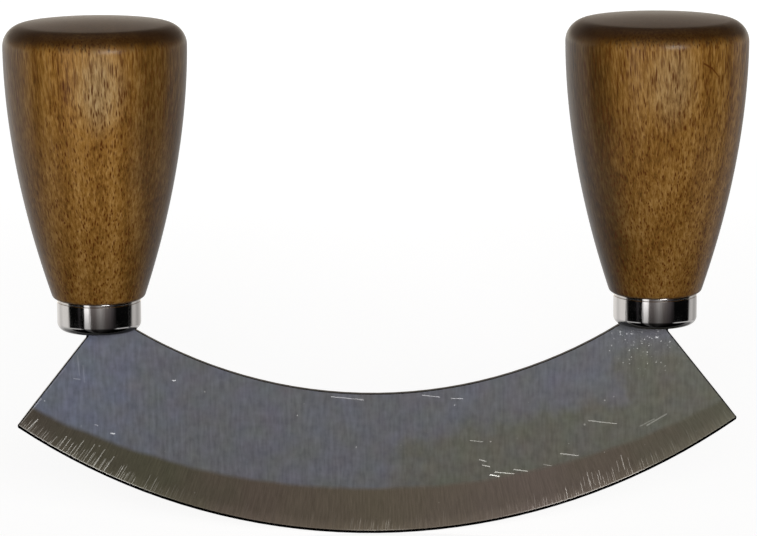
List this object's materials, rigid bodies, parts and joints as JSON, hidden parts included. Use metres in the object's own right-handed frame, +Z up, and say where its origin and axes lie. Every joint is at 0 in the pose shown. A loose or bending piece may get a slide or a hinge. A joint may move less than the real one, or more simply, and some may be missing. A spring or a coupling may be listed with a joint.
{
  "type": "mezzaluna",
  "caption": "Crescent chopping blade with a ground, curved cutting edge and an upright turned wooden handle in a metal ferrule at each end.",
  "frame": {"origin": "lowest point of the cutting edge, at the middle of the blade's length and of its thickness, where the edge meets a board", "axes": "+Z up along the handles, +X along the blade towards the right handle, Y through the blade's thickness with the front face towards -Y"},
  "size_m": [0.1818, 0.0448, 0.129],
  "materials": {
    "blade_steel": "satin stainless steel, brushed across, with a coarser ground band along the edge",
    "walnut": "turned and lacquered walnut-toned hardwood with open pores",
    "ferrule_steel": "polished drawn sheet",
    "resin": "cured bonding resin"
  },
  "bodies": {
    "root": {"blade": "blade_steel", "left_handle": "walnut", "right_handle": "walnut", "left_ferrule": "ferrule_steel", "right_ferrule": "ferrule_steel", "left_tang_resin": "resin", "right_tang_resin": "resin"}
  },
  "joints": []
}
